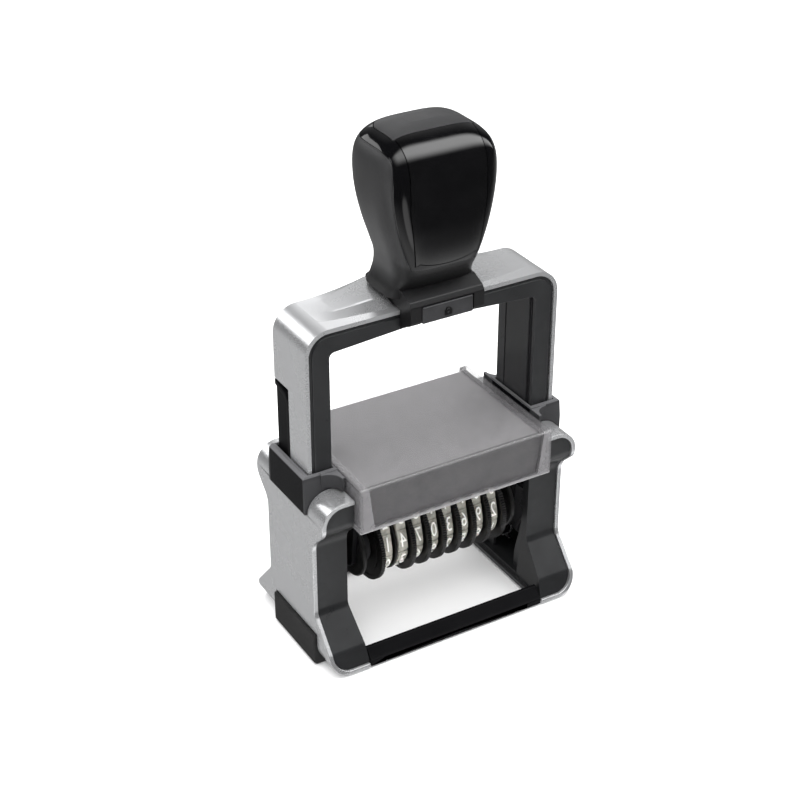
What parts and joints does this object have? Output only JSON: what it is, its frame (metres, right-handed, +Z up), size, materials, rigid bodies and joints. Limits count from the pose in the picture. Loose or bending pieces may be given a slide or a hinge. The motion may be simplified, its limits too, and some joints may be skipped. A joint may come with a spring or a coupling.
{
  "type": "self-inking numbering stamp",
  "caption": "Hand stamp with a sprung press frame and handle; a print unit of number bands turns over from its ink pad to the paper as the handle is pressed.",
  "frame": {"origin": "centre of the footprint, on the surface the stamp stands on", "axes": "+Z up along the press stroke, +X along the row of digits to the right seen from the front, front faces -Y"},
  "size_m": [0.0766, 0.043, 0.1375],
  "materials": {
    "black_plastic": "satin moulded black",
    "gloss_black": "polished black",
    "grey_plastic": "fine matte grey",
    "silver_paint": "satin silver lacquer",
    "rubber": "matte",
    "band_rubber": "matte cream",
    "clear_plastic": "clear smoke tint",
    "card": "grey card",
    "steel": "bright steel",
    "ink_felt": "ink-soaked felt"
  },
  "bodies": {
    "base": {"base_leg_left": "black_plastic", "base_leg_right": "black_plastic", "side_cover_left": "silver_paint", "side_cover_right": "silver_paint", "side_foot_left": "rubber", "side_foot_right": "rubber", "leg_collar_left": "black_plastic", "leg_collar_right": "black_plastic", "cam_plate_left": "black_plastic", "cam_plate_right": "black_plastic", "base_front_bar": "black_plastic", "base_rear_bar": "black_plastic", "window_cover": "clear_plastic", "index_card": "card", "pad_housing": "black_plastic", "return_spring_left": "steel", "return_spring_right": "steel"},
    "cartridge": {"ink_cartridge": "black_plastic", "ink_pad": "ink_felt"},
    "press": {"upper_frame": "black_plastic", "upper_cover": "silver_paint", "handle_body": "black_plastic", "handle_front_panel": "gloss_black", "handle_top_cap": "grey_plastic", "leg_inlay_left": "black_plastic", "leg_inlay_right": "black_plastic"},
    "lock": {"lock_button": "grey_plastic"},
    "print_unit": {"side_plate_left": "black_plastic", "side_plate_right": "black_plastic", "trunnion_left": "steel", "trunnion_right": "steel", "hub_spacer_left": "grey_plastic", "hub_spacer_right": "grey_plastic", "end_disc_left": "black_plastic", "end_disc_right": "black_plastic", "wheel_axle": "steel", "print_bar": "black_plastic", "band_separator": "black_plastic", "number_band_1": "band_rubber", "number_band_2": "band_rubber", "number_band_3": "band_rubber", "number_band_4": "band_rubber", "number_band_5": "band_rubber", "number_band_6": "band_rubber", "number_band_7": "band_rubber", "number_band_8": "band_rubber"},
    "wheel_1": {"number_wheel_1": "black_plastic"},
    "wheel_2": {"number_wheel_2": "black_plastic"},
    "wheel_3": {"number_wheel_3": "black_plastic"},
    "wheel_4": {"number_wheel_4": "black_plastic"},
    "wheel_5": {"number_wheel_5": "black_plastic"},
    "wheel_6": {"number_wheel_6": "black_plastic"},
    "wheel_7": {"number_wheel_7": "black_plastic"},
    "wheel_8": {"number_wheel_8": "black_plastic"}
  },
  "joints": [
    {"name": "press_slide", "type": "slide", "parent": "base", "child": "press", "axis": [0, 0, -1], "range_m": [0, 0.02755], "stiffness_N_per_m": 600, "springref_m": -0.008, "deforming": ["return_spring_left", "return_spring_right"]},
    {"name": "print_unit_flip", "type": "hinge", "parent": "press", "child": "print_unit", "pos_m": [0, -0.0019, 0.03525], "axis": [1, 0, 0], "range_deg": [0, 180]},
    {"name": "cartridge_slide", "type": "slide", "parent": "base", "child": "cartridge", "axis": [0, 1, 0], "range_m": [0, 0.036]},
    {"name": "lock_button_push", "type": "slide", "parent": "press", "child": "lock", "axis": [0, 1, 0], "range_m": [0, 0.002], "stiffness_N_per_m": 300, "springref_m": -0.001},
    {"name": "wheel_1_turn", "type": "hinge", "parent": "print_unit", "child": "wheel_1", "pos_m": [-0.0172, -0.0019, 0.02515], "axis": [1, 0, 0], "continuous": true},
    {"name": "wheel_2_turn", "type": "hinge", "parent": "print_unit", "child": "wheel_2", "pos_m": [-0.008, -0.0019, 0.02515], "axis": [1, 0, 0], "continuous": true},
    {"name": "wheel_3_turn", "type": "hinge", "parent": "print_unit", "child": "wheel_3", "pos_m": [-0.0034, -0.0019, 0.02515], "axis": [1, 0, 0], "continuous": true},
    {"name": "wheel_4_turn", "type": "hinge", "parent": "print_unit", "child": "wheel_4", "pos_m": [0.0012, -0.0019, 0.02515], "axis": [1, 0, 0], "continuous": true},
    {"name": "wheel_5_turn", "type": "hinge", "parent": "print_unit", "child": "wheel_5", "pos_m": [0.0058, -0.0019, 0.02515], "axis": [1, 0, 0], "continuous": true},
    {"name": "wheel_6_turn", "type": "hinge", "parent": "print_unit", "child": "wheel_6", "pos_m": [0.0104, -0.0019, 0.02515], "axis": [1, 0, 0], "continuous": true},
    {"name": "wheel_7_turn", "type": "hinge", "parent": "print_unit", "child": "wheel_7", "pos_m": [0.015, -0.0019, 0.02515], "axis": [1, 0, 0], "continuous": true},
    {"name": "wheel_8_turn", "type": "hinge", "parent": "print_unit", "child": "wheel_8", "pos_m": [0.0196, -0.0019, 0.02515], "axis": [1, 0, 0], "continuous": true}
  ],
  "couplings": [
    {"joint": "print_unit_flip", "follows": "press_slide", "rad_per_m": 114.03}
  ]
}
